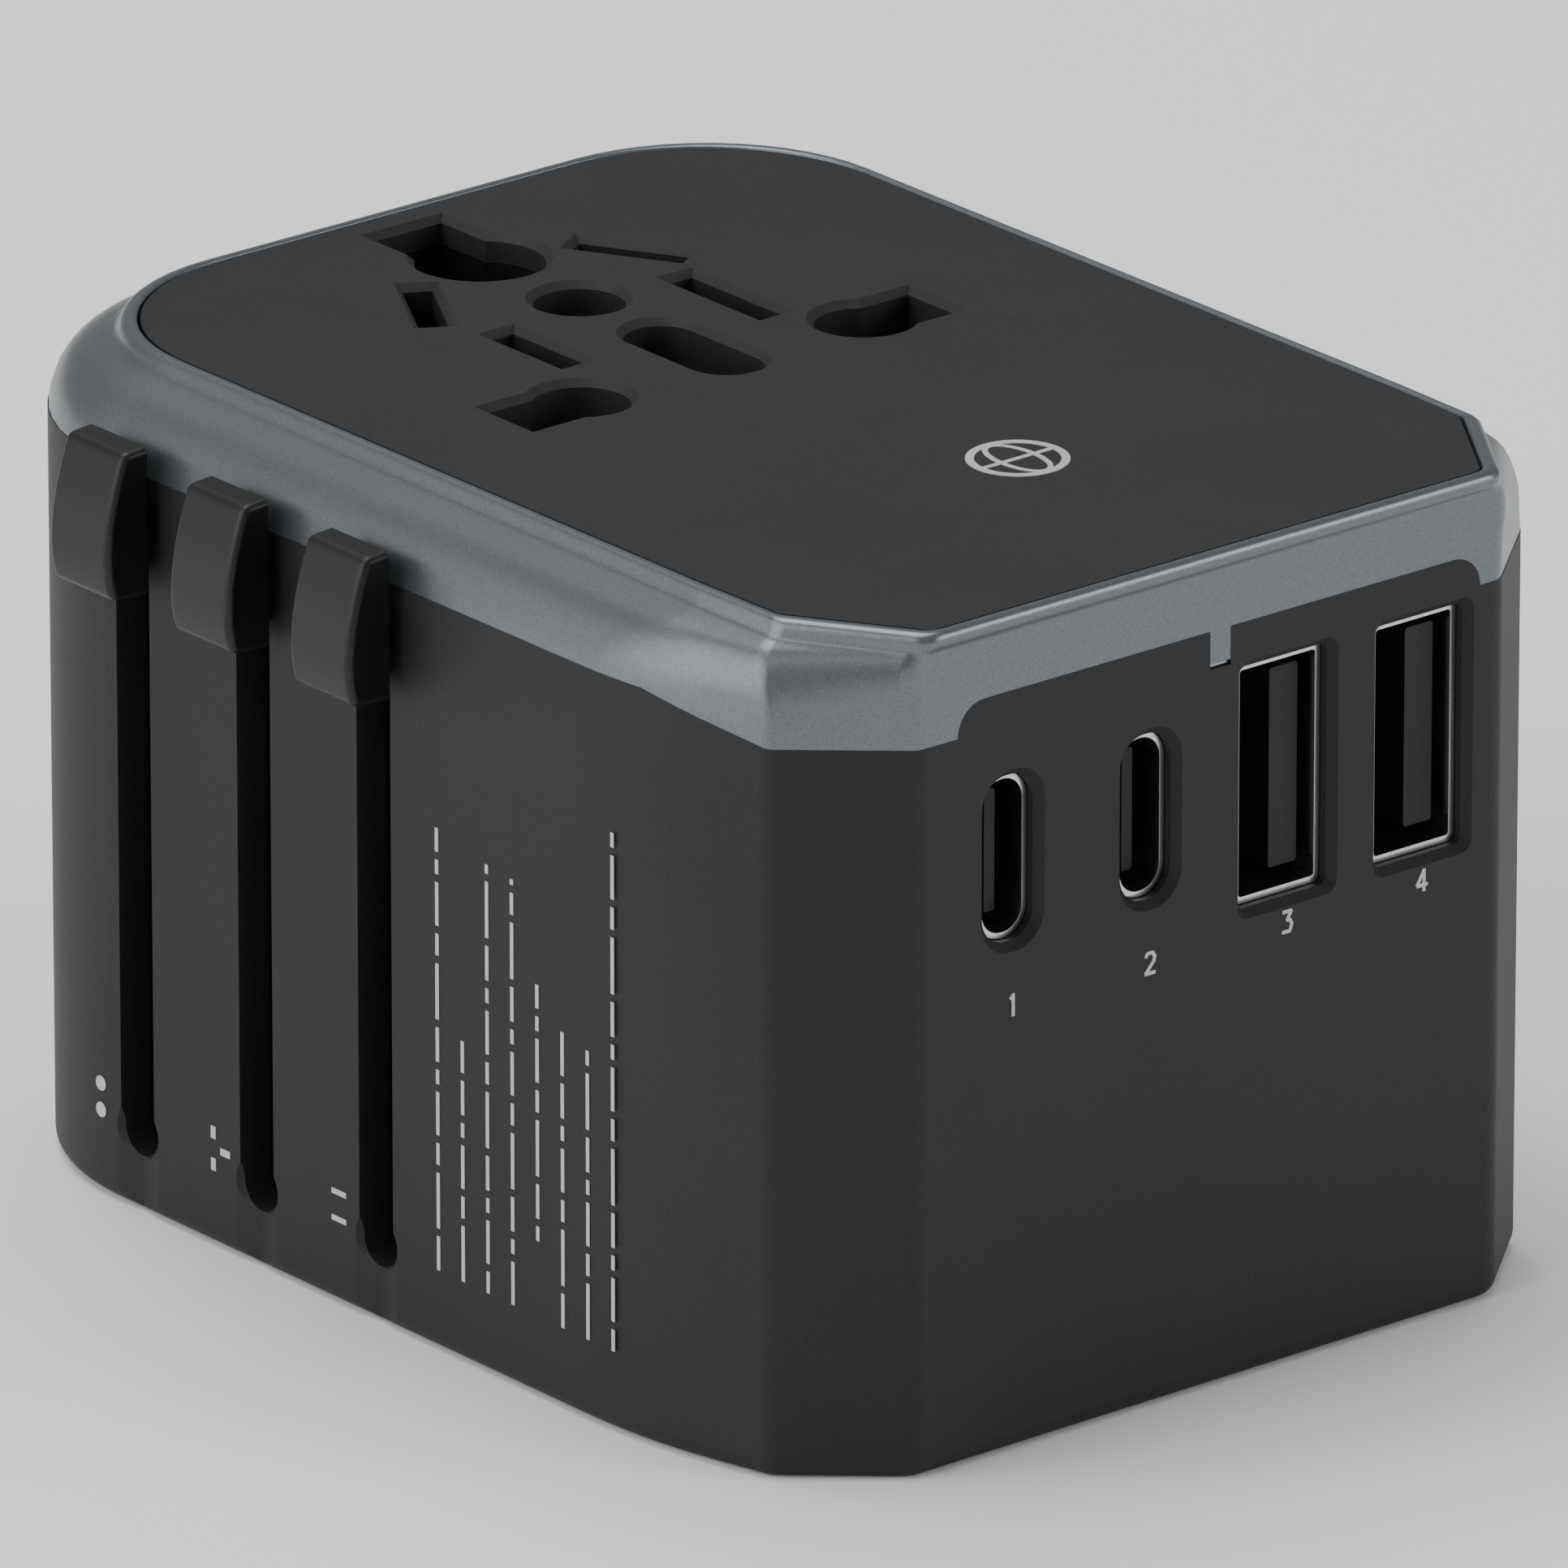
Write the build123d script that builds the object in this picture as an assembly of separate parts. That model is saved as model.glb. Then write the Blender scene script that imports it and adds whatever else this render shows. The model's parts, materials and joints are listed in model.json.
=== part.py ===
"""Universal travel adapter with three sliding plug sets, a universal socket and four USB ports.

Frame: millimetres, +Z up, origin at the centre of the plug face, USB ports facing -Y,
slider knobs facing -X.
"""
import math
import os

from build123d import *

# ---- overall size -------------------------------------------------------------------
WIDTH = 55.0
LENGTH = 70.8
HEIGHT = 46.4
PARTING_Z = 41.6            # lower edge of the metallic frame along the sides
PARTING_FRONT_Z = 40.1      # the same edge on the USB end
WALL = 2.0
PLATE_T = 2.0               # plug face plate
REAR_FACET = 3.4            # sloped facet under the rear end
SILL_DEPTH = 4.4            # rear end of the body that the plug face plate leaves free
SILL_Z = 5.4

# ---- body outline -------------------------------------------------------------------
CORNER_X = 7.9              # straight corner cut at the USB end
CORNER_Y = 5.0
TAPER_X = 2.1               # the long sides lean in ahead of the corner cut
TAPER_Y = 7.9
TAPER_R = 36.0
CORNER_R = 1.6
REAR_R = 14.0

# ---- inlaid socket panel ------------------------------------------------------------
PANEL_SIDE_EDGE = 4.5       # from the body's sides and ends to the panel
PANEL_FRONT_EDGE = 0.3
PANEL_REAR_EDGE = 4.2
PANEL_CUT_X = 4.6
PANEL_CUT_Y = 6.8
PANEL_REAR_R = 11.0
PANEL_T = 1.6
PANEL_GAP = 0.12
PANEL_DROP = 0.1
LEDGE = 0.7

# ---- clearances ---------------------------------------------------------------------
GAP = 0.3                   # between bodies that slide past each other
FIT = 0.05                  # between parts fastened in one body

# ---- socket layout, measured from its own centre line --------------------------------
SOCKET_X = -1.0
US_PITCH = 12.7
US_SLOT_Y = 10.3
US_SLOT_W = 2.5
US_SLOT_WIDE = 8.6
US_SLOT_NARROW = 7.0
LN_Y = 2.85
LN_HEIGHT = 4.9
LN_OUTER = 14.7
EU_PITCH = 19.0
EU_HOLE_R = 3.0
AU_X = 6.85
AU_Y = 19.0
AU_SLOT_L = 7.0
AU_SLOT_W = 2.4
AU_ANGLE = 30.0
EARTH_X = 0.0
EARTH_TOP = 29.65
EARTH_Y = 23.0
EARTH_W = 5.6
EARTH_HOLE_R = 3.9
MID_HOLE_Y = 14.7
MID_HOLE_R = 2.85
MID_SLOT_Y = 5.2
MID_SLOT_L = 10.2
MID_SLOT_W = 4.8
HOLE_BEVEL = 0.4

# ---- socket block -------------------------------------------------------------------
BLOCK_X = 19.5              # half width of the block about the socket centre line
BLOCK_Y0 = -2.6
BLOCK_Y1 = 30.3
BLOCK_Z0 = 30.0
SHUTTER_T = 1.4
PAD_T = 1.6                 # thickening of the panel around its openings
SHUTTER_TRAVEL = 4.0

# ---- plug decks ---------------------------------------------------------------------
DECK_Z = 25.4
DECK_T = 3.4
PLUG_TRAVEL = 23.0
SLOT_W = 2.8
SLOT_BOTTOM = 3.1
SLOT_LIP = 0.35
EU_SLOT_Y = 19.1
UK_SLOT_Y = 9.0
US_SLOT_WALL_Y = -1.0
ARM_GAP = 0.4               # from the wall's inner face to the arms
ARM_T = 2.8
ARM_W = 6.0
ARM_TOP = 41.0
STEM_W = 2.2
STEM_Z0 = 36.4
KNOB_W = 5.0
KNOB_Z0 = 35.6
KNOB_Z1 = 43.8
KNOB_GAP = 0.9              # from the side face to the knobs' flat backs
KNOB_DEPTH = 2.8
KNOB_TOP_DEPTH = 1.3

# ---- plug pins ----------------------------------------------------------------------
EU_PIN_R = 2.4
EU_PIN_OUT = 19.0
EU_PIN_Y = 16.2
UK_PIN_X = 11.1
UK_PIN_Y = -1.5
UK_EARTH_DY = 22.2
UK_PIN_OUT = 17.7
UK_EARTH_OUT = 22.7
UK_PIN_W = 6.3
UK_PIN_T = 4.0
UK_EARTH_L = 8.0
BLADE_X = 6.35
BLADE_Y = 5.4
BLADE_W = 6.3
BLADE_T = 1.5
BLADE_OUT = 17.0
BLADE_TWIST = 30.0
BLADE_WINDOW_GAP = 0.7      # round the blade's corners as it turns
PIVOT_R = 2.2

# ---- USB end ------------------------------------------------------------------------
USB_Z = 32.6
USB_A_X = (5.2, 14.4)
USB_A_W = 5.8
USB_A_H = 13.2
USB_C_X = (-13.25, -4.05)
USB_C_W = 3.26
USB_C_H = 9.0
USB_RECESS = 0.9
PCB_Y = -22.0
PCB_T = 1.6
PCB_Z0 = 15.0
PCB_Z1 = 41.0
LED_X = 0.6
LED_W = 1.4
LED_Z0 = 39.8
TAB_Z = 41.9
TAB_X0 = -16.9
TAB_X1 = 18.2
TAB_R = 1.8

# ---- fuse ---------------------------------------------------------------------------
FUSE_X = 18.5
FUSE_Y = -15.0
FUSE_R = 2.6
FUSE_L = 20.0
CAP_R = 4.0
SCREW_FRONT_INSET = (6.2, 10.4)     # from the side and the end of the body
SCREW_REAR_INSET = (8.0, 7.9)
BOSS_R = 3.6
SCREW_R = 1.5
SCREW_HEAD_R = 2.6

FRONT = -LENGTH / 2
REAR = LENGTH / 2
HALF = WIDTH / 2
SILL_Y = REAR - SILL_DEPTH
PANEL_HALF = HALF - PANEL_SIDE_EDGE
PANEL_FRONT = FRONT + PANEL_FRONT_EDGE
PANEL_REAR = REAR - PANEL_REAR_EDGE
ARM_X0 = -(HALF - WALL - ARM_GAP)
ARM_X1 = ARM_X0 + ARM_T
KNOB_BACK = -(HALF + KNOB_GAP)
KNOB_FRONT = KNOB_BACK - KNOB_DEPTH
KNOB_TOP_X = KNOB_BACK - KNOB_TOP_DEPTH
SCREWS = tuple(
    (side * (HALF - inset), y)
    for inset, y in (
        (SCREW_FRONT_INSET[0], FRONT + SCREW_FRONT_INSET[1]),
        (SCREW_REAR_INSET[0], REAR - SCREW_REAR_INSET[1]),
    )
    for side in (-1, 1)
)


def outline(half, front, rear, cut, taper, radii):
    """Plan outline: tapered sides and straight cut corners in front, round corners at the rear."""
    cut_x, cut_y = cut
    taper_x, taper_y = taper
    r_rear, r_taper, r_cut = radii
    right = [
        (half - cut_x, front),
        (half - taper_x, front + cut_y),
        (half, front + cut_y + taper_y),
        (half, rear),
    ]
    left = [(-x, y) for x, y in reversed(right)]
    face = Polygon(*right, *left, align=None)
    for spot, radius in ((right[0], r_cut), (right[1], r_cut), (right[2], r_taper), (right[3], r_rear)):
        corner = [v for v in face.vertices() if abs(abs(v.X) - spot[0]) + abs(v.Y - spot[1]) < 0.01]
        face = fillet(corner, radius)
    return face


def body_outline(inset=0.0):
    face = outline(
        HALF, FRONT, REAR, (CORNER_X, CORNER_Y), (TAPER_X, TAPER_Y), (REAR_R, TAPER_R, CORNER_R)
    )
    return offset(face, -inset) if inset else face


def panel_outline(grow=0.0):
    half = PANEL_HALF + grow
    cut = (PANEL_CUT_X + 0.3 * grow, PANEL_CUT_Y + 0.3 * grow)
    return outline(
        half, PANEL_FRONT - grow, PANEL_REAR + grow, cut, (0.15, 6.0), (PANEL_REAR_R + grow, 8.0, 0.9)
    )


def slab(x0, x1, y0, y1, z0, z1):
    return Pos(x0, y0, z0) * Box(x1 - x0, y1 - y0, z1 - z0, align=(Align.MIN, Align.MIN, Align.MIN))


def prism(face, z0, z1):
    return extrude(Pos(0, 0, z0) * face, z1 - z0)


def post(x, y, radius, z0, z1):
    return Pos(x, y, z0) * Cylinder(radius, z1 - z0, align=(Align.CENTER, Align.CENTER, Align.MIN))


def frame_section(half, front, rear, mix):
    """Section of the frame: blends the body corner cuts into the panel corner cuts."""
    def blend(body, panel):
        return body + (panel - body) * mix

    cut = (blend(CORNER_X, PANEL_CUT_X), blend(CORNER_Y, PANEL_CUT_Y))
    taper = (blend(TAPER_X, 0.15), blend(TAPER_Y, 6.0))
    radii = (blend(REAR_R, PANEL_REAR_R), blend(TAPER_R, 8.0), CORNER_R)
    return outline(half, front, rear, cut, taper, radii)


def outer_solid():
    """Whole outside shape: straight body, sloped band and lip."""
    sections = [
        (PARTING_Z, HALF, FRONT, REAR, 0.0),
        (HEIGHT - 2.4, PANEL_HALF + 3.8, FRONT + 0.1, PANEL_REAR + 3.6, 0.4),
        (HEIGHT - 0.8, PANEL_HALF + 1.2, FRONT - 0.5, PANEL_REAR + 1.2, 0.85),
        (HEIGHT, PANEL_HALF + 0.6, FRONT - 0.2, PANEL_REAR + 0.6, 1.0),
    ]
    faces = [Pos(0, 0, z) * frame_section(h, f, r, m) for z, h, f, r, m in sections]
    body = prism(body_outline(), 0, PARTING_Z)
    body = fillet(body.faces().sort_by(Axis.Z)[0].edges(), 1.0)
    wedge = Polygon(
        (REAR + 1, -1),
        (REAR + 1, 1.4 * (REAR_FACET + 1)),
        (REAR - REAR_FACET - 1 / 1.4, -1),
        align=None,
    )
    body -= extrude(Plane.YZ * wedge, HALF + 1, both=True)
    return body + loft(faces, ruled=True)


def below_parting():
    """Everything under the parting line, with the raised tab on the USB end."""
    y_cut = FRONT + CORNER_Y
    y_knee = y_cut + TAPER_Y
    profile = Polygon(
        (y_knee, -1.0),
        (REAR + 5, -1.0),
        (REAR + 5, PARTING_Z),
        (y_knee, PARTING_Z),
        (y_cut, PARTING_FRONT_Z),
        (FRONT - 5, PARTING_FRONT_Z),
        (FRONT - 5, -1.0),
        align=None,
    )
    below = extrude(Plane.YZ * profile, HALF + 5, both=True)
    tab = Polygon(
        (TAB_X0, PARTING_FRONT_Z - 1),
        (TAB_X1, PARTING_FRONT_Z - 1),
        (TAB_X1, TAB_Z),
        (TAB_X0, TAB_Z),
        align=None,
    )
    tab = fillet(tab.vertices().filter_by(lambda v: v.Y > TAB_Z - 0.1), TAB_R)
    raised = Pos(0, FRONT + WALL, 0) * extrude(Plane.XZ * tab, WALL + 3)
    return below + raised


def wall_slot(y):
    """Vertical slot with a round lower end and a bevelled lip in the slider wall."""
    low = SLOT_BOTTOM + SLOT_W / 2
    cut = slab(-HALF - 1, ARM_X0, y - SLOT_W / 2, y + SLOT_W / 2, low, PARTING_Z + 0.5)
    drill = Rot(0, 90, 0) * Cylinder(SLOT_W / 2, HALF + 1 + ARM_X0)
    cut += Pos((-HALF - 1 + ARM_X0) / 2, y, low) * drill
    lip_w = SLOT_W / 2 + SLOT_LIP
    wide = Polygon((-HALF - 0.01, -lip_w), (-HALF - 0.01, lip_w), (-HALF + SLOT_LIP, 0), align=None)
    lip = extrude(Pos(0, y, low) * wide, PARTING_Z + 0.5 - low)
    round_lip = Rot(0, 90, 0) * Cone(lip_w, SLOT_W / 2 - 0.4, 2 * SLOT_LIP)
    return cut + lip + Pos(-HALF + SLOT_LIP - 0.01, y, low) * round_lip


def rounded_bar(width, height, radius, y0, y1, x, z):
    """Bar running along Y with a rounded upright section."""
    section = RectangleRounded(width, height, radius)
    return Pos(x, y1, z) * extrude(Plane.XZ * section, y1 - y0)


def bevelled_port(x, width, height, radius):
    """Opening through the USB wall with a bevelled mouth."""
    through = rounded_bar(width, height, radius, FRONT - 1, FRONT + WALL + 1, x, USB_Z)
    mouth = loft([
        Pos(x, FRONT - 0.01, USB_Z) * (Plane.XZ * RectangleRounded(width + 0.9, height + 0.9, radius + 0.4)),
        Pos(x, FRONT + 0.45, USB_Z) * (Plane.XZ * RectangleRounded(width, height, radius)),
    ])
    return through + mouth


def socket_holes(grow=0.0):
    """Plan view of every opening of the universal socket, about its own centre line."""
    sketch = Sketch()
    for side, length in ((1, US_SLOT_WIDE), (-1, US_SLOT_NARROW)):
        x = side * US_PITCH / 2
        sketch += Pos(x, US_SLOT_Y) * Rectangle(US_SLOT_W + 2 * grow, length + 2 * grow)
        eu_x = side * EU_PITCH / 2
        sketch += Pos(eu_x, LN_Y) * Circle(EU_HOLE_R + grow)
        mid_x = side * (EU_PITCH / 2 + LN_OUTER) / 2
        sketch += Pos(mid_x, LN_Y) * Rectangle(LN_OUTER - EU_PITCH / 2 + 2 * grow, LN_HEIGHT + 2 * grow)
        slanted = Rectangle(AU_SLOT_W + 2 * grow, AU_SLOT_L + 2 * grow)
        sketch += Pos(side * AU_X, AU_Y) * Rot(0, 0, side * AU_ANGLE) * slanted
    depth = EARTH_TOP - EARTH_Y
    sketch += Pos(EARTH_X, EARTH_Y + depth / 2) * Rectangle(EARTH_W + 2 * grow, depth + 2 * grow)
    sketch += Pos(EARTH_X, EARTH_Y) * Circle(EARTH_HOLE_R + grow)
    sketch += Pos(0, MID_HOLE_Y) * Circle(MID_HOLE_R + grow)
    sketch += Pos(0, MID_SLOT_Y) * SlotOverall(MID_SLOT_L + 2 * grow, MID_SLOT_W + 2 * grow, rotation=90)
    return Pos(SOCKET_X, 0) * sketch


def make_panel():
    top = HEIGHT - PANEL_DROP
    panel = prism(panel_outline(), top - PANEL_T, top)
    x0, x1, y0, y1 = shutter_plate(0.0, GAP - FIT)
    panel += slab(x0, x1, y0, y1 + SHUTTER_TRAVEL, top - PANEL_T - PAD_T, top - PANEL_T + 0.1)
    panel -= prism(socket_holes(-HOLE_BEVEL), top - PANEL_T - PAD_T - 1, top + 1)
    rims = panel.faces().sort_by(Axis.Z)[-1].inner_wires()
    edges = [e for w in rims for e in w.edges()]
    return chamfer(edges, HOLE_BEVEL)


def shutter_plate(y_shift=0.0, grow=0.0):
    """Plan rectangle of the shutter: covers both rows of live openings when closed."""
    x = SOCKET_X
    half = LN_OUTER + 1.6
    y0 = LN_Y - LN_HEIGHT / 2 - 1.2 + y_shift
    y1 = US_SLOT_Y + US_SLOT_WIDE / 2 + 0.8 + y_shift
    return x - half - grow, x + half + grow, y0 - grow, y1 + grow


def shutter_z(top):
    """Lower and upper faces of the shutter under the thickened panel."""
    upper = top - PAD_T - GAP
    return upper - SHUTTER_T, upper


def make_block():
    """Insulating block under the panel with contact wells and the shutter pocket."""
    top = HEIGHT - PANEL_DROP - PANEL_T - FIT
    block = slab(SOCKET_X - BLOCK_X, SOCKET_X + BLOCK_X, BLOCK_Y0, BLOCK_Y1, BLOCK_Z0, top)
    upright = block.edges().filter_by(Axis.Z)
    block = fillet(upright, 5.0) & prism(panel_outline(-LEDGE - FIT), BLOCK_Z0, top)
    block -= prism(socket_holes(-HOLE_BEVEL), BLOCK_Z0 + 1.6, top + 1)
    for well in contact_wells(0.0):
        block -= well
    x0, x1, y0, y1 = shutter_plate(0.0, GAP)
    block -= slab(x0, x1, y0, y1 + SHUTTER_TRAVEL, shutter_z(top)[0] - GAP, top + 1)
    block -= spring_channel(top)
    return block


def spring_channel(top):
    y1 = US_SLOT_Y + US_SLOT_WIDE / 2 + 0.8
    channels = Part()
    for side in (-1, 1):
        x = SOCKET_X + side * (LN_OUTER - 0.6)
        channel_z = shutter_z(top)[0] - GAP
        channels += slab(x - 1.1, x + 1.1, y1 - 1, y1 + SHUTTER_TRAVEL + 7.0, channel_z, top + 1)
    return channels


def contact_wells(inset):
    """Wells for the three contact strips, or the strips themselves when inset."""
    z0 = BLOCK_Z0 + 1.6 + inset
    z1 = HEIGHT - PANEL_T - PAD_T - SHUTTER_T - 1.8 - inset
    wells = []
    for side in (1, -1):
        x_in = SOCKET_X + side * 4.2
        x_out = SOCKET_X + side * 15.6
        lo, hi = sorted((x_in, x_out))
        wells.append(slab(lo + inset, hi - inset, -0.6 + inset, 14.6 - inset, z0, z1))
    wells.append(slab(SOCKET_X - 4.6 + inset, SOCKET_X + 4.6 - inset, 17.2 + inset, 29.2 - inset, z0, z1))
    return wells


def make_contact(index):
    """Bent brass strip lining its well, open above every opening."""
    strip = contact_wells(FIT)[index]
    core = contact_wells(FIT + 0.5)[index]
    above = Pos(0, 0, 2) * core
    return strip - core - above - prism(socket_holes(0.2), BLOCK_Z0 + 2.4, HEIGHT)


def make_shutter(top):
    x0, x1, y0, y1 = shutter_plate()
    z0, z1 = shutter_z(top)
    plate = slab(x0, x1, y0, y1, z0, z1)
    x = SOCKET_X
    window = slab(x - 2.6, x + 2.6, y0 - 1, MID_SLOT_Y + 5.4, top - 5, top + 1)
    plate -= window
    for side in (-1, 1):
        lug_x = SOCKET_X + side * (LN_OUTER - 0.6)
        plate += slab(lug_x - 0.8, lug_x + 0.8, y1 - 0.2, y1 + 0.6, z0, z1)
    return plate


def make_shutter_springs(top):
    """Two small coil springs that push the shutter closed."""
    y0 = US_SLOT_Y + US_SLOT_WIDE / 2 + 0.8 + 0.6 + SHUTTER_TRAVEL + 0.15
    mid = sum(shutter_z(top)) / 2
    springs = Part()
    for side in (-1, 1):
        x = SOCKET_X + side * (LN_OUTER - 0.6)
        for turn in range(4):
            ring = Torus(0.62, 0.14)
            springs += Pos(x, y0 + 0.2 + turn * 0.55, mid) * Rot(90, 0, 0) * ring
        rod = Rot(90, 0, 0) * Cylinder(0.5, 2.2)
        springs += Pos(x, y0 + 1.1, mid) * rod
    return springs


def make_knob(y):
    """Thumb knob: flat back, outward bulge that leans in at the top."""
    profile = Polyline(
        (KNOB_BACK, KNOB_Z0),
        (KNOB_BACK, KNOB_Z1),
        (KNOB_TOP_X, KNOB_Z1 - 0.2),
    ) + ThreePointArc(
        (KNOB_TOP_X, KNOB_Z1 - 0.2),
        (KNOB_FRONT + 0.2, KNOB_Z1 - 3.6),
        (KNOB_FRONT + 0.1, KNOB_Z0 + 1.4),
    ) + Polyline(
        (KNOB_FRONT + 0.1, KNOB_Z0 + 1.4),
        (KNOB_FRONT + 0.9, KNOB_Z0 + 0.1),
        (KNOB_BACK, KNOB_Z0),
    )
    side = make_face(Plane.XZ * profile)
    knob = Pos(0, y, 0) * extrude(side, KNOB_W / 2, both=True)
    front = knob.edges().filter_by(lambda e: e.center().X < KNOB_BACK - 0.6)
    return fillet(front, 0.45)


def arm_and_stem(y):
    """Upright arm behind the wall with the stem that passes through its slot."""
    arm = slab(ARM_X0, ARM_X1, y - ARM_W / 2, y + ARM_W / 2, DECK_Z, ARM_TOP)
    low = arm.edges().filter_by(Axis.X).filter_by(lambda e: e.center().Z < DECK_Z + 0.1)
    arm = fillet(low, 1.4)
    stem = slab(KNOB_BACK, ARM_X0 + 0.5, y - STEM_W / 2, y + STEM_W / 2, STEM_Z0, ARM_TOP - 0.2)
    return arm + stem


def deck(points):
    return prism(Polygon(*points, align=None), DECK_Z, DECK_Z + DECK_T)


def make_eu_carrier():
    y = EU_SLOT_Y
    plan = [
        (ARM_X1 - 0.5, y - 2.6),
        (-17.0, y - 2.6),
        (-17.0, 12.9),
        (-5.4, 12.9),
        (-5.4, 18.6),
        (-12.0, 20.4),
        (-12.0, 26.6),
        (12.0, 26.6),
        (12.0, 20.4),
        (5.4, 18.6),
        (5.4, 12.9),
        (14.6, 12.9),
        (14.6, 30.0),
        (-14.8, 30.0),
        (-14.8, 22.4),
        (-17.0, y + 2.6),
        (ARM_X1 - 0.5, y + 2.6),
    ]
    holes = Part()
    for side in (-1, 1):
        holes += post(side * EU_PITCH / 2, EU_PIN_Y, EU_PIN_R - 0.3 + FIT, DECK_Z - 1, DECK_Z + 2.5)
    return arm_and_stem(y) + deck(plan) - holes


def make_eu_pins():
    """Two round pins with sleeved roots and rounded tips."""
    tip = DECK_Z - (EU_PIN_OUT + DECK_Z - PLUG_TRAVEL)
    pins = Part()
    for side in (-1, 1):
        x = side * EU_PITCH / 2
        pin = post(x, EU_PIN_Y, EU_PIN_R, tip, DECK_Z - FIT)
        end = pin.edges().sort_by(Axis.Z)[0]
        pin = fillet(end, 1.6)
        pins += pin + post(x, EU_PIN_Y, EU_PIN_R - 0.3, DECK_Z - 1, DECK_Z + 2.4)
    return pins


def make_uk_carrier():
    y = UK_SLOT_Y
    plan = [
        (ARM_X1 - 0.5, y + 2.8),
        (ARM_X1 - 0.5, y - 2.6),
        (-18.0, y - 2.6),
        (-15.6, -4.4),
        (-7.3, -4.4),
        (-7.3, 0.9),
        (-11.0, 3.2),
        (-11.0, 9.6),
        (11.0, 9.6),
        (11.0, 3.2),
        (7.3, 0.9),
        (7.3, -4.4),
        (15.6, -4.4),
        (15.6, 12.2),
        (4.8, 12.2),
        (4.8, 18.6),
        (8.0, 21.6),
        (8.0, 25.9),
        (-8.0, 25.9),
        (-8.0, 21.6),
        (-4.8, 18.6),
        (-4.8, 12.2),
        (-18.0, 12.2),
    ]
    holes = Part()
    for x, py in uk_pin_spots():
        holes += slab(x - 1.1, x + 1.1, py - 1.1, py + 1.1, DECK_Z - 1, DECK_Z + 2.5)
    return arm_and_stem(y) + deck(plan) - holes


def uk_pin_spots():
    return ((-UK_PIN_X, UK_PIN_Y), (UK_PIN_X, UK_PIN_Y), (0.0, UK_PIN_Y + UK_EARTH_DY))


def flat_pin(x, y, size_x, size_y, out):
    """Rectangular pin with a chamfered tip and a square root in the deck."""
    tip = PLUG_TRAVEL - out
    pin = slab(x - size_x / 2, x + size_x / 2, y - size_y / 2, y + size_y / 2, tip, DECK_Z - FIT)
    pin = chamfer(pin.faces().sort_by(Axis.Z)[0].edges(), 0.9)
    root = slab(x - 1.05, x + 1.05, y - 1.05, y + 1.05, DECK_Z - 1, DECK_Z + 2.4)
    return pin + root


def make_us_carrier():
    y = US_SLOT_WALL_Y
    plan = [
        (ARM_X1 - 0.5, y - 2.6),
        (-16.6, y - 7.0),
        (3.6, y - 7.0),
        (3.6, 1.6),
        (10.3, 4.0),
        (10.3, 8.9),
        (-10.3, 8.9),
        (-10.3, 4.0),
        (-3.6, 1.6),
        (-3.6, -4.8),
        (-16.2, -4.8),
        (ARM_X1 - 0.5, y + 2.2),
    ]
    bores = Part()
    for side in (-1, 1):
        bores += post(side * BLADE_X, BLADE_Y, PIVOT_R + FIT, DECK_Z - 1, DECK_Z + DECK_T + 1)
    return arm_and_stem(y) + deck(plan) - bores


def make_blade(side):
    """Flat blade on a round pivot that turns in the deck."""
    x = side * BLADE_X
    tip = PLUG_TRAVEL - BLADE_OUT
    shoulder = DECK_Z - 2 * FIT
    half_t = BLADE_T / 2
    blade = slab(x - half_t, x + half_t, BLADE_Y - BLADE_W / 2, BLADE_Y + BLADE_W / 2, tip, shoulder)
    blade = chamfer(blade.faces().sort_by(Axis.Z)[0].edges(), 0.5)
    pivot = post(x, BLADE_Y, PIVOT_R, shoulder - 0.01, DECK_Z + DECK_T + GAP)
    keeper = post(x, BLADE_Y, PIVOT_R + 0.6, DECK_Z + DECK_T + GAP, DECK_Z + DECK_T + GAP + 0.5)
    return blade + pivot + keeper


def make_blade_window(side):
    """Opening that lets the blade through at any angle of its twist."""
    x = side * BLADE_X
    twist = math.radians(BLADE_TWIST)
    corner = math.hypot(BLADE_W / 2, BLADE_T / 2)
    dx = BLADE_W / 2 * math.sin(twist) + BLADE_T / 2 * math.cos(twist) + BLADE_WINDOW_GAP
    dy = corner + BLADE_WINDOW_GAP
    return slab(x - dx, x + dx, BLADE_Y - dy, BLADE_Y + dy, -1, PLATE_T + 1)


def make_plate():
    plate = prism(body_outline(WALL + FIT), 0, PLATE_T)
    plate -= slab(-HALF, HALF, SILL_Y, REAR, -1, PLATE_T + 1)
    for side in (-1, 1):
        plate -= post(side * EU_PITCH / 2, EU_PIN_Y, EU_PIN_R + GAP, -1, PLATE_T + 1)
        plate -= make_blade_window(side)
        x = side * UK_PIN_X
        dx = UK_PIN_W / 2 + GAP
        dy = UK_PIN_T / 2 + GAP
        plate -= slab(x - dx, x + dx, UK_PIN_Y - dy, UK_PIN_Y + dy, -1, PLATE_T + 1)
    earth_y = UK_PIN_Y + UK_EARTH_DY
    dx = UK_PIN_T / 2 + GAP
    dy = UK_EARTH_L / 2 + GAP
    plate -= slab(-dx, dx, earth_y - dy, earth_y + dy, -1, PLATE_T + 1)
    plate -= post(FUSE_X, FUSE_Y, CAP_R + FIT, -1, PLATE_T + 1)
    for x, y in SCREWS:
        plate -= post(x, y, SCREW_R + FIT, -1, PLATE_T + 1)
        plate -= post(x, y, SCREW_HEAD_R + FIT, -1, 1.2)
    return plate


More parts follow.
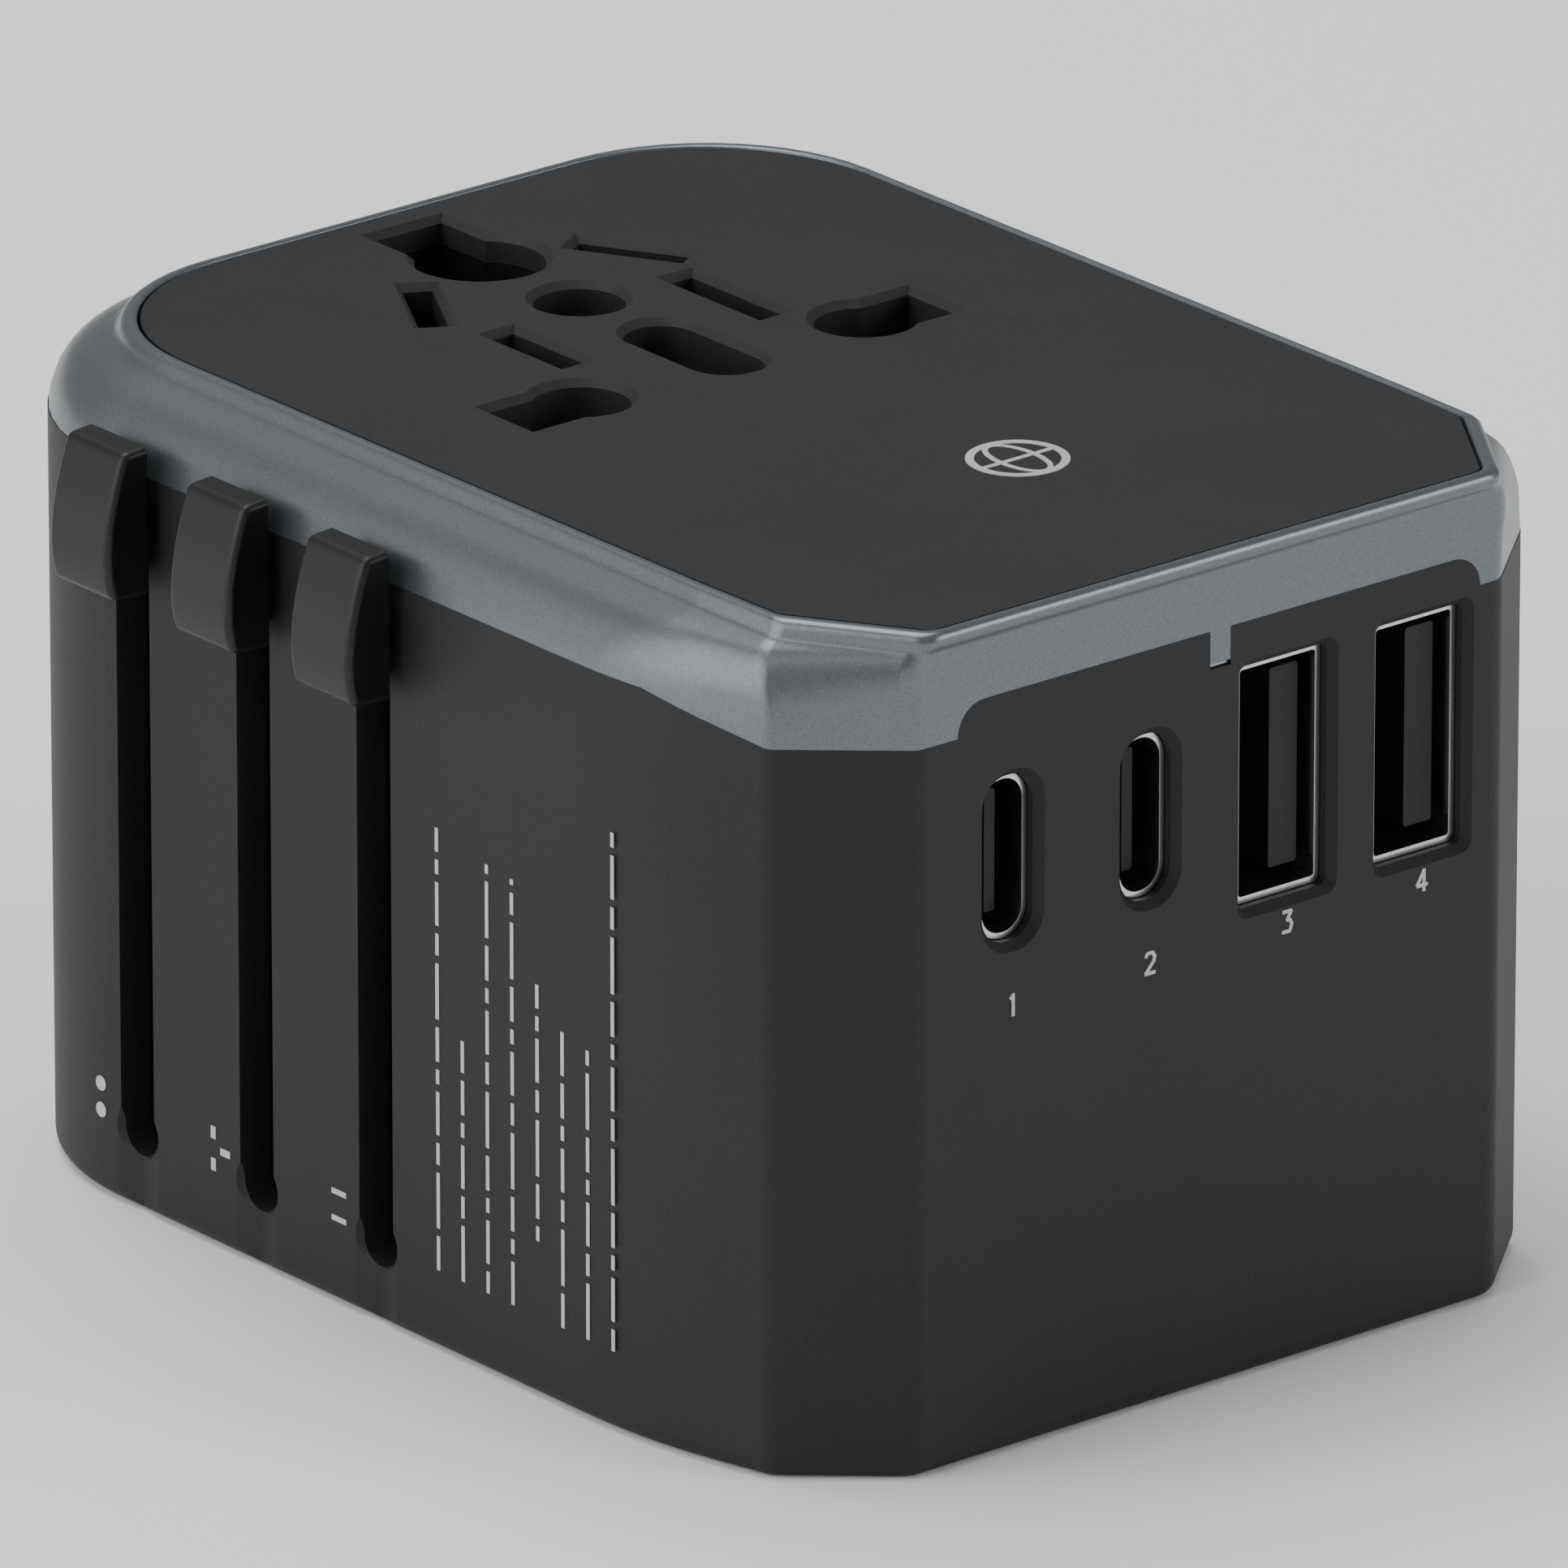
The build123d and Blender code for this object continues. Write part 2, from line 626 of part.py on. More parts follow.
def make_housing(outer, below):
    housing = outer & below
    housing -= prism(body_outline(WALL), -1, PLATE_T)
    housing -= prism(body_outline(WALL), PLATE_T - 0.01, PARTING_Z + 1)
    sill = prism(body_outline(WALL - 0.2), 0, SILL_Z) & slab(-HALF, HALF, SILL_Y + FIT, REAR, -1, 9)
    housing += sill & outer
    for side in (-1, 1):
        lo, hi = sorted((side * 20.4, side * (HALF - WALL + 0.2)))
        rail = slab(lo, hi, PCB_Y - 1.2, PCB_Y + PCB_T + 1.2, PCB_Z0, PCB_Z1)
        groove = slab(-21.0 - FIT, 21.0 + FIT, PCB_Y - FIT, PCB_Y + PCB_T + FIT, PCB_Z0 - 1, PCB_Z1 + 1)
        housing += rail - groove
    for y in (EU_SLOT_Y, UK_SLOT_Y, US_SLOT_WALL_Y):
        housing -= wall_slot(y)
    for x in USB_A_X:
        housing -= bevelled_port(x, USB_A_W + 2 * FIT, USB_A_H + 2 * FIT, 0.4)
    for x in USB_C_X:
        housing -= bevelled_port(x, USB_C_W + 2 * FIT, USB_C_H + 2 * FIT, USB_C_W / 2 - 0.05)
    housing -= slab(LED_X - LED_W / 2, LED_X + LED_W / 2, FRONT - 1, FRONT + WALL + 1, LED_Z0, TAB_Z + 1)
    for x, y in SCREWS:
        boss = post(x, y, BOSS_R, PLATE_T + FIT, PLATE_T + 12) & outer
        housing += boss - post(x, y, SCREW_R + FIT, PLATE_T - 1, PLATE_T + 9.5)
    return housing


def make_frame(outer, below):
    frame = outer - below
    top = HEIGHT - PANEL_DROP
    frame -= prism(panel_outline(PANEL_GAP), top - PANEL_T, HEIGHT + 1)
    frame -= prism(panel_outline(-LEDGE), PARTING_FRONT_Z - 1, HEIGHT)
    return frame


def make_usb_a(x):
    """Shell and tongue of an upright type A receptacle."""
    y0 = FRONT + USB_RECESS
    y1 = PCB_Y - FIT
    shell = rounded_bar(USB_A_W, USB_A_H, 0.35, y0, y1, x, USB_Z)
    shell -= rounded_bar(USB_A_W - 0.7, USB_A_H - 0.7, 0.2, y0 - 1, y1 - 1.0, x, USB_Z)
    tongue = rounded_bar(1.9, USB_A_H - 2.2, 0.2, y0 + 0.8, y1 - 1.0 - FIT, x + 1.1, USB_Z)
    return shell, tongue


def make_usb_c(x):
    """Shell and tongue of an upright type C receptacle."""
    y0 = FRONT + USB_RECESS
    y1 = PCB_Y - FIT
    radius = USB_C_W / 2 - 0.05
    shell = rounded_bar(USB_C_W, USB_C_H, radius, y0, y1, x, USB_Z)
    shell -= rounded_bar(USB_C_W - 0.6, USB_C_H - 0.6, radius - 0.3, y0 - 1, y1 - 1.0, x, USB_Z)
    tongue = rounded_bar(0.7, USB_C_H - 2.3, 0.15, y0 + 1.0, y1 - 1.0 - FIT, x, USB_Z)
    return shell, tongue


def make_electronics():
    """Charger board with its larger components."""
    y1 = PCB_Y + PCB_T
    board = slab(-21.0, 21.0, PCB_Y, y1, PCB_Z0, PCB_Z1)
    core = slab(-18.0, -2.0, y1 + FIT, y1 + 10.0, 24.0, 39.0)
    window = slab(-14.5, -5.5, y1, y1 + 11.0, 28.0, 35.0)
    winding = slab(-14.4, -5.6, y1 + 1.0, y1 + 9.0, 28.1, 34.9)
    winding = fillet(winding.edges().filter_by(Axis.Y), 1.2)
    tall = Pos(5.4, y1 + FIT + 4.6, 33.0) * Cylinder(4.5, 14.0)
    small = Part()
    for x in (13.2, 18.0):
        small += Pos(x, y1 + FIT + 2.4, 35.5) * Cylinder(2.3, 9.0)
    chips = Part()
    for x, z in ((-14.0, 19.0), (-5.0, 19.0), (5.0, 20.0)):
        chips += slab(x - 3.0, x + 3.0, y1 + FIT, y1 + 1.6, z - 2.4, z + 2.4)
    return {
        "usb_board": board,
        "transformer_core": core - window,
        "transformer_winding": winding,
        "main_capacitor": tall,
        "output_capacitors": small,
        "control_chips": chips,
    }


def make_fuse():
    """Fuse cartridge standing behind a coin-slot cap in the plug face."""
    z0 = PLATE_T + 1.4
    barrel = post(FUSE_X, FUSE_Y, FUSE_R - 0.1, z0 + 4.0, z0 + FUSE_L - 4.0)
    ends = post(FUSE_X, FUSE_Y, FUSE_R, z0, z0 + 4.0 - FIT)
    ends += post(FUSE_X, FUSE_Y, FUSE_R, z0 + FUSE_L - 4.0 + FIT, z0 + FUSE_L)
    holder = post(FUSE_X, FUSE_Y, FUSE_R + 1.5, PLATE_T + 0.1, z0 + FUSE_L + 1.0)
    holder -= post(FUSE_X, FUSE_Y, FUSE_R + FIT, PLATE_T - 1, z0 + FUSE_L + FIT)
    cap = post(FUSE_X, FUSE_Y, CAP_R, 0.2, PLATE_T - FIT)
    cap += post(FUSE_X, FUSE_Y, FUSE_R - 0.2, 0.2, z0 - GAP)
    cap -= slab(FUSE_X - 3.0, FUSE_X + 3.0, FUSE_Y - 0.5, FUSE_Y + 0.5, -1, 1.0)
    return {"fuse_barrel": barrel, "fuse_ends": ends, "fuse_holder": holder, "fuse_cap": cap}


def make_screws():
    """Four case screws with cross recesses, driven from the plug face."""
    screws = Part()
    for x, y in SCREWS:
        head = post(x, y, SCREW_HEAD_R, 0.2, 1.2)
        for angle in (0, 90):
            head -= Pos(x, y, 0.2) * Rot(0, 0, angle) * Box(2.6, 0.6, 1.2)
        screws += head + post(x, y, SCREW_R, 1.1, PLATE_T + 8.5)
    return screws


def build():
    outer = outer_solid()
    below = below_parting()
    block_top = HEIGHT - PANEL_DROP - PANEL_T - FIT
    parts = {
        "lower_housing": make_housing(outer, below),
        "plug_plate": make_plate(),
        "top_frame": make_frame(outer, below),
        "socket_panel": make_panel(),
        "socket_block": make_block(),
        "line_contact": make_contact(0),
        "neutral_contact": make_contact(1),
        "earth_contact": make_contact(2),
        "safety_shutter": make_shutter(block_top),
        "shutter_springs": make_shutter_springs(block_top),
        "eu_carrier": make_eu_carrier(),
        "eu_pins": make_eu_pins(),
        "uk_carrier": make_uk_carrier(),
        "uk_live_pins": Part() + [
            flat_pin(x, y, UK_PIN_W, UK_PIN_T, UK_PIN_OUT) for x, y in uk_pin_spots()[:2]
        ],
        "uk_earth_pin": flat_pin(*uk_pin_spots()[2], UK_PIN_T, UK_EARTH_L, UK_EARTH_OUT),
        "us_carrier": make_us_carrier(),
        "us_blade_left": make_blade(-1),
        "us_blade_right": make_blade(1),
        "case_screws": make_screws(),
        "led_window": slab(
            LED_X - LED_W / 2 + FIT,
            LED_X + LED_W / 2 - FIT,
            FRONT + 0.25,
            FRONT + WALL,
            LED_Z0 + FIT,
            TAB_Z - FIT,
        ),
    }
    for name, y in (("eu_knob", EU_SLOT_Y), ("uk_knob", UK_SLOT_Y), ("us_knob", US_SLOT_WALL_Y)):
        parts[name] = make_knob(y)
    for kind, maker, spots in (("a", make_usb_a, USB_A_X), ("c", make_usb_c, USB_C_X)):
        for index, x in enumerate(spots, 1):
            shell, tongue = maker(x)
            parts[f"usb_{kind}{index}_shell"] = shell
            parts[f"usb_{kind}{index}_tongue"] = tongue
    parts.update(make_electronics())
    parts.update(make_fuse())
    return parts


def main():
    os.makedirs("parts", exist_ok=True)
    for name, shape in build().items():
        export_step(shape, f"parts/{name}.step")


if __name__ == "__main__":
    main()
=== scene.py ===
"""Looks of a universal travel adapter, laid out as a Blender add-on."""

import json
import math

import bmesh
import bpy
from mathutils import Matrix, Vector


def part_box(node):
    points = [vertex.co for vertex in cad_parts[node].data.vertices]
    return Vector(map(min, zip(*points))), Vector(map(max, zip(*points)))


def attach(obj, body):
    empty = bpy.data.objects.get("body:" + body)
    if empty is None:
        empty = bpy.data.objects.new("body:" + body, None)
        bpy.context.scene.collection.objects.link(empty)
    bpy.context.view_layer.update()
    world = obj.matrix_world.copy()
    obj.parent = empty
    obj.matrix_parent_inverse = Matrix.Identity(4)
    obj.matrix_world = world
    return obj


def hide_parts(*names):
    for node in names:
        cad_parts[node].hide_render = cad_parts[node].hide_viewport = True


bl_info = {
    "name": "Travel adapter looks",
    "version": (1, 0, 0),
    "blender": (4, 5, 0),
    "location": "View3D > Sidebar > Adapter",
    "description": "Models the visible trim of a travel adapter and gives every piece its finish",
    "category": "Object",
}

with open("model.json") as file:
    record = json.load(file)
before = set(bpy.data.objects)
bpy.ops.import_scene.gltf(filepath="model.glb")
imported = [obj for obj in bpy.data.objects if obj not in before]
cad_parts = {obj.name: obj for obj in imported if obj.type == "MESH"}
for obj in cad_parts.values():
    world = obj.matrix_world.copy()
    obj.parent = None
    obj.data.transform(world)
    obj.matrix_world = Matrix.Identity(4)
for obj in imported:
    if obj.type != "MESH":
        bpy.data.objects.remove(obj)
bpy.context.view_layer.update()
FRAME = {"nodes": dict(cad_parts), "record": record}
MM = 0.001


class AdapterBody(bpy.types.PropertyGroup):
    front: bpy.props.FloatProperty(
        name="Front", description="Place of the USB face along Y", default=-35.4 * MM, unit="LENGTH"
    )
    parting: bpy.props.FloatProperty(
        name="Parting height", description="Lower edge of the frame on the long sides", default=41.6 * MM,
        unit="LENGTH",
    )
    parting_front: bpy.props.FloatProperty(
        name="Front parting height", description="Lower edge of the frame on the USB end", default=40.1 * MM,
        unit="LENGTH",
    )
    corner_points: bpy.props.IntProperty(
        name="Corner points", description="Points along each rounded corner", default=14, min=3
    )


class AdapterKnob(bpy.types.PropertyGroup):
    width: bpy.props.FloatProperty(
        name="Width", description="Width of a slider knob", default=5.0 * MM, unit="LENGTH"
    )
    low: bpy.props.FloatProperty(
        name="Lower end", description="Height of the knob's lower end", default=35.6 * MM, unit="LENGTH"
    )
    high: bpy.props.FloatProperty(
        name="Upper end", description="Height of the knob's upper end", default=43.8 * MM, unit="LENGTH"
    )
    back: bpy.props.FloatProperty(
        name="Back", description="Place of the knob's flat back along X", default=-28.4 * MM, unit="LENGTH"
    )
    face: bpy.props.FloatProperty(
        name="Face", description="Outermost place of the knob's face along X", default=-31.2 * MM,
        unit="LENGTH",
    )
    rounding: bpy.props.FloatProperty(
        name="Rounding", description="Width of the rounded edges", default=0.42 * MM, unit="LENGTH"
    )


class AdapterPrint(bpy.types.PropertyGroup):
    film: bpy.props.FloatProperty(
        name="Ink film", description="Height of the printed film", default=0.03 * MM, unit="LENGTH"
    )
    stroke: bpy.props.FloatProperty(
        name="Stroke", description="Line width of the printed signs", default=0.2 * MM, unit="LENGTH"
    )
    digit_scale: bpy.props.FloatProperty(
        name="Digit scale", description="Half the height of a port number in millimetres", default=0.62
    )
    side: bpy.props.FloatProperty(
        name="Side", description="Place of the slider face along X", default=-27.5 * MM, unit="LENGTH"
    )
    port_height: bpy.props.FloatProperty(
        name="Port number height", description="Height of the port numbers' centre", default=24.7 * MM,
        unit="LENGTH",
    )


class AdapterView(bpy.types.PropertyGroup):
    azimuth: bpy.props.FloatProperty(
        name="Azimuth", description="Bearing of the camera", default=math.radians(-39.5), unit="ROTATION"
    )
    elevation: bpy.props.FloatProperty(
        name="Elevation", description="Height angle of the camera", default=math.radians(20.99),
        unit="ROTATION",
    )
    distance: bpy.props.FloatProperty(
        name="Distance", description="Distance to the middle of the object", default=1.3225, unit="LENGTH"
    )
    lens: bpy.props.FloatProperty(
        name="Lens", description="Focal length in millimetres", default=579.7, unit="CAMERA"
    )


GROUPS = {
    "adapter_body": AdapterBody,
    "adapter_knob": AdapterKnob,
    "adapter_print": AdapterPrint,
    "adapter_view": AdapterView,
}


# ---- materials -------------------------------------------------------------------------
def linear(code, alpha=1.0):
    """sRGB hex code to linear colour."""
    def channel(text):
        value = int(text, 16) / 255
        return value / 12.92 if value <= 0.04045 else ((value + 0.055) / 1.055) ** 2.4

    return (channel(code[1:3]), channel(code[3:5]), channel(code[5:7]), alpha)


def add_node(tree, kind, values=None, links=None, **settings):
    """Adds a node, sets its options and input values, and links sockets into its inputs."""
    node = tree.nodes.new(kind)
    for key, value in settings.items():
        setattr(node, key, value)
    for key, value in (values or {}).items():
        node.inputs[key].default_value = value
    for key, socket in (links or {}).items():
        tree.links.new(socket, node.inputs[key])
    return node


def new_material(name):
    """Empty node material with its output; returns (material, tree, output, object coordinates)."""
    material = bpy.data.materials.new(name)
    material.use_nodes = True
    tree = material.node_tree
    tree.nodes.clear()
    output = add_node(tree, "ShaderNodeOutputMaterial")
    coords = add_node(tree, "ShaderNodeTexCoord").outputs["Object"]
    return material, tree, output, coords


def grain_height(tree, coords, size_mm, detail=3.0):
    """Noise whose grains are about size_mm across."""
    return add_node(
        tree,
        "ShaderNodeTexNoise",
        {"Scale": 1.0 / (size_mm * MM), "Detail": detail, "Roughness": 0.6},
        {"Vector": coords},
    )


def moulded(name, colour, lighter, roughness, grain_mm, bump, mottling_mm=14.0, gloss=0.5):
    """Moulded plastic: fine spark texture, faint mottling and uneven sheen."""
    material, tree, output, coords = new_material(name)
    grain = grain_height(tree, coords, grain_mm)
    mottle = grain_height(tree, coords, mottling_mm, 4.0)
    blend = add_node(
        tree, "ShaderNodeMath", {1: 0.45}, {0: mottle.outputs["Fac"]}, operation="MULTIPLY"
    )
    speck = add_node(tree, "ShaderNodeMath", {1: 0.55}, {0: grain.outputs["Fac"]}, operation="MULTIPLY")
    total = add_node(
        tree, "ShaderNodeMath", None, {0: blend.outputs[0], 1: speck.outputs[0]}, operation="ADD"
    )
    ramp = add_node(tree, "ShaderNodeValToRGB", None, {"Fac": total.outputs[0]})
    ramp.color_ramp.elements[0].position = 0.3
    ramp.color_ramp.elements[0].color = linear(colour)
    ramp.color_ramp.elements[1].position = 0.7
    ramp.color_ramp.elements[1].color = linear(lighter)
    sheen = add_node(
        tree,
        "ShaderNodeMapRange",
        {"To Min": roughness - 0.05, "To Max": roughness + 0.06},
        {"Value": mottle.outputs["Fac"]},
    )
    height = add_node(
        tree, "ShaderNodeBump", {"Strength": bump, "Distance": 0.04 * MM}, {"Height": grain.outputs["Fac"]}
    )
    shader = add_node(
        tree,
        "ShaderNodeBsdfPrincipled",
        {"Specular IOR Level": gloss},
        {
            "Base Color": ramp.outputs["Color"],
            "Roughness": sheen.outputs["Result"],
            "Normal": height.outputs["Normal"],
        },
    )
    tree.links.new(shader.outputs[0], output.inputs["Surface"])
    return material


def metal(name, colour, roughness, grain_mm, bump, metallic=1.0, stretch=(1, 1, 1)):
    """Metal with fine surface grain and slightly uneven roughness."""
    material, tree, output, coords = new_material(name)
    placed = add_node(tree, "ShaderNodeMapping", {"Scale": stretch}, {"Vector": coords})
    grain = grain_height(tree, placed.outputs["Vector"], grain_mm)
    cloud = grain_height(tree, coords, 9.0, 2.0)
    rough = add_node(
        tree,
        "ShaderNodeMapRange",
        {"To Min": roughness - 0.06, "To Max": roughness + 0.06},
        {"Value": cloud.outputs["Fac"]},
    )
    height = add_node(
        tree, "ShaderNodeBump", {"Strength": bump, "Distance": 0.01 * MM}, {"Height": grain.outputs["Fac"]}
    )
    shader = add_node(
        tree,
        "ShaderNodeBsdfPrincipled",
        {"Base Color": linear(colour), "Metallic": metallic},
        {"Roughness": rough.outputs["Result"], "Normal": height.outputs["Normal"]},
    )
    tree.links.new(shader.outputs[0], output.inputs["Surface"])
    return material


def lacquer(name, dark, light, flake_mm):
    """Metallic lacquer: small flakes that glint a little, under a satin coat."""
    material, tree, output, coords = new_material(name)
    cells = add_node(
        tree, "ShaderNodeTexVoronoi", {"Scale": 1.0 / (flake_mm * MM)}, {"Vector": coords}
    )
    flake = add_node(tree, "ShaderNodeSeparateColor", None, {"Color": cells.outputs["Color"]})
    ramp = add_node(tree, "ShaderNodeValToRGB", None, {"Fac": flake.outputs[0]})
    ramp.color_ramp.elements[0].color = linear(dark)
    ramp.color_ramp.elements[1].color = linear(light)
    height = add_node(
        tree, "ShaderNodeBump", {"Strength": 0.12, "Distance": 0.02 * MM}, {"Height": flake.outputs[1]}
    )
    shader = add_node(
        tree,
        "ShaderNodeBsdfPrincipled",
        {"Metallic": 0.75, "Roughness": 0.34, "Coat Weight": 0.15, "Coat Roughness": 0.25},
        {"Base Color": ramp.outputs["Color"], "Normal": height.outputs["Normal"]},
    )
    tree.links.new(shader.outputs[0], output.inputs["Surface"])
    return material


def milky(name, colour):
    """Light guide of milky acrylic."""
    material, tree, output, coords = new_material(name)
    cloud = grain_height(tree, coords, 1.5, 2.0)
    rough = add_node(
        tree, "ShaderNodeMapRange", {"To Min": 0.2, "To Max": 0.32}, {"Value": cloud.outputs["Fac"]}
    )
    shader = add_node(
        tree,
        "ShaderNodeBsdfPrincipled",
        {"Base Color": linear(colour), "Subsurface Weight": 0.3, "Subsurface Scale": 0.6 * MM},
        {"Roughness": rough.outputs["Result"]},
    )
    tree.links.new(shader.outputs[0], output.inputs["Surface"])
    return material


FINISHES = {
    # dark grey with a dry, slightly sparkling surface
    "housing_plastic": lambda: moulded(
        "Spark-textured ABS", "#17181a", "#242527", 0.56, 0.22, 0.6, gloss=0.3
    ),
    # slate grey with fine flakes and a soft broad gloss
    "frame_metal": lambda: lacquer("Satin metallic lacquer", "#63696c", "#70777b", 0.07),
    # a shade lighter and flatter than the body
    "panel_plastic": lambda: moulded("Fine-grain ABS", "#1b1c1e", "#28292b", 0.6, 0.2, 0.5, gloss=0.3),
    # nearly black: the part's own dark colour, darkened further as painted shade so that openings read as
    # deep
    "inner_plastic": lambda: moulded("Black polycarbonate with painted depth shade", "#0d0d0d", "#121212", 0.5, 0.4, 0.2, gloss=0.3),
    # dull dark red behind the openings
    "shutter_plastic": lambda: moulded("Red nylon", "#5e1215", "#70191c", 0.45, 0.5, 0.15, gloss=0.3),
    # warm yellow strip
    "contact_brass": lambda: metal("Brass strip", "#b8965a", 0.35, 0.3, 0.1),
    # bright grey wire
    "spring_steel": lambda: metal("Spring steel", "#a5a7aa", 0.3, 0.2, 0.1),
    # dull dark grey
    "carrier_plastic": lambda: moulded(
        "Grey glass-filled nylon", "#242526", "#2c2d2e", 0.5, 0.4, 0.25, gloss=0.3
    ),
    # black with a soft sheen along the rounded edges
    "knob_plastic": lambda: moulded(
        "Matte soft-touch nylon", "#08080a", "#0d0d0f", 0.42, 0.25, 0.3, gloss=0.4
    ),
    # pale plating with faint lengthwise grain
    "pin_metal": lambda: metal("Nickel-plated brass", "#c9c7c2", 0.22, 0.5, 0.08, stretch=(1, 1, 0.1)),
    # bright rim round a dark opening
    "port_steel": lambda: metal("Stamped steel", "#cfcfd2", 0.24, 0.4, 0.08, stretch=(1, 0.1, 1)),
    # black with a slight gloss
    "port_plastic": lambda: moulded(
        "Black thermoplastic", "#0b0b0c", "#101011", 0.4, 0.5, 0.12, gloss=0.35
    ),
    # glossy green
    "board_laminate": lambda: moulded("Green board laminate", "#1d5a2c", "#246634", 0.35, 1.0, 0.1),
    # dull charcoal block
    "ferrite": lambda: moulded("Ferrite", "#2b2b2d", "#353537", 0.6, 0.2, 0.3),
    # glossy yellow band
    "winding_tape": lambda: moulded("Yellow polyester tape", "#b98f1e", "#c69d30", 0.3, 2.0, 0.1),
    # glossy navy tube
    "capacitor_sleeve": lambda: moulded("Navy sleeve", "#141c36", "#1a2444", 0.3, 2.0, 0.1),
    # cloudy pale grey
    "lens": lambda: milky("Milky acrylic", "#c4c4c5"),
    # glossy off-white tube
    "fuse_ceramic": lambda: moulded("Glazed ceramic", "#d9d6cc", "#e2dfd6", 0.2, 2.0, 0.05),
    # grey with a cool tint
    "screw_steel": lambda: metal("Zinc-plated steel", "#9c9ea0", 0.32, 0.3, 0.12),
    # flat light grey print
    "ink": lambda: moulded("Screen-print ink", "#b0b0b1", "#bcbcbd", 0.5, 0.3, 0.1, 3.0),
}


def finish_named(key):
    """The material of one slot, made on first use."""
    store = finish_named.made
    if key not in store:
        store[key] = FINISHES[key]()
    return store[key]


finish_named.made = {}


# ---- mesh helpers ----------------------------------------------------------------------
def to_object(name, mesh_data, key, body):
    """Turns a bmesh into a shown object that rides on a body."""
    mesh = bpy.data.meshes.new(name)
    bmesh.ops.recalc_face_normals(mesh_data, faces=mesh_data.faces)
    mesh_data.to_mesh(mesh)
    mesh_data.free()
    obj = bpy.data.objects.new(name, mesh)
    bpy.context.scene.collection.objects.link(obj)
    mesh.materials.append(finish_named(key))
    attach(obj, body)
    return obj


def smooth_by_angle(mesh, degrees):
    """Smooth faces with sharp edges above an angle."""
    mesh.shade_smooth()
    mesh.set_sharp_from_angle(angle=math.radians(degrees))


def even_normals(obj):
    """Shading that keeps large flat faces flat next to rounded edges."""
    modifier = obj.modifiers.new("Even normals", "WEIGHTED_NORMAL")
    modifier.keep_sharp = True


def corner_arc(before, corner, after, radius, count):
    """Points of the arc that rounds one corner of a plan outline."""
    to_before = (before - corner).normalized()
    to_after = (after - corner).normalized()
    half_angle = to_before.angle(to_after) / 2
    reach = radius / math.tan(half_angle)
    centre = corner + (to_before + to_after).normalized() * (radius / math.sin(half_angle))
    start = corner + to_before * reach - centre
    end = corner + to_after * reach - centre
    turn = start.angle_signed(end)
    return [
        centre + Matrix.Rotation(-turn * i / (count - 1), 2) @ start for i in range(count)
    ]


def outline(half, front, rear, cut, taper, radii, count):
    """Plan outline with tapered sides, straight front corner cuts and large rear corners."""
    cut_x, cut_y = cut
    taper_x, taper_y = taper
    r_rear, r_taper, r_cut = radii
    right = [
        (half - cut_x, front, r_cut),
        (half - taper_x, front + cut_y, r_cut),
        (half, front + cut_y + taper_y, r_taper),
        (half, rear, r_rear),
    ]
    left = [(-x, y, radius) for x, y, radius in reversed(right)]
    ring = right + left
    corners = [Vector((x, y)) for x, y, radius in ring]
    points = []
    for i, corner in enumerate(corners):
        after = corners[(i + 1) % len(corners)]
        points += corner_arc(corners[i - 1], corner, after, ring[i][2], count)
    return points


# ---- frame -----------------------------------------------------------------------------
# height, half width and front of each level of the frame in mm, and how far its plan corners
# have gone from the body's (0) to the panel's (1)
FRAME_LEVELS = (
    (44.8, 23.12, -35.22, 1.0),
    (46.2, 23.12, -35.22, 1.0),
    (46.34, 23.18, -35.3, 1.0),
    (46.38, 23.36, -35.45, 1.0),
    (46.33, 23.58, -35.66, 1.0),
    (46.15, 23.76, -35.82, 1.0),
    (45.88, 23.86, -35.88, 0.99),
    (45.62, 23.96, -35.82, 0.97),
    (45.42, 24.16, -35.66, 0.93),
    (45.28, 24.5, -35.5, 0.87),
    (45.1, 24.98, -35.42, 0.78),
    (44.8, 25.55, -35.38, 0.66),
    (44.4, 26.08, -35.36, 0.53),
    (43.9, 26.52, -35.36, 0.4),
    (43.3, 26.92, -35.36, 0.26),
    (42.5, 27.28, -35.37, 0.1),
    (41.6, 27.47, -35.38, 0.0),
)


PANEL_HALF = 23.0
PANEL_REAR = 31.2
SIDE_BORDER = 4.5       # from the panel out to the body's sides
REAR_BORDER = 4.2
# straight corner cut, taper ahead of it, and radii at the rear and at the taper: body and panel
CUT = ((7.9, 5.0), (4.6, 6.8))
TAPER = ((2.1, 7.9), (0.15, 6.0))
REAR_RADIUS = (14.0, 11.0)
TAPER_RADIUS = (36.0, 8.0)
CUT_RADIUS = 1.5


def blend(body, panel, mix):
    """Value between the body's and the panel's."""
    return body + (panel - body) * mix


def frame_ring(half, front, mix, count):
    """Plan of one frame level in mm."""
    rear = PANEL_REAR + (half - PANEL_HALF) * REAR_BORDER / SIDE_BORDER
    cut = [blend(body, panel, mix) for body, panel in zip(*CUT)]
    taper = [blend(body, panel, mix) for body, panel in zip(*TAPER)]
    radii = (blend(*REAR_RADIUS, mix), blend(*TAPER_RADIUS, mix), CUT_RADIUS)
    return outline(half, front, rear, cut, taper, radii, count)


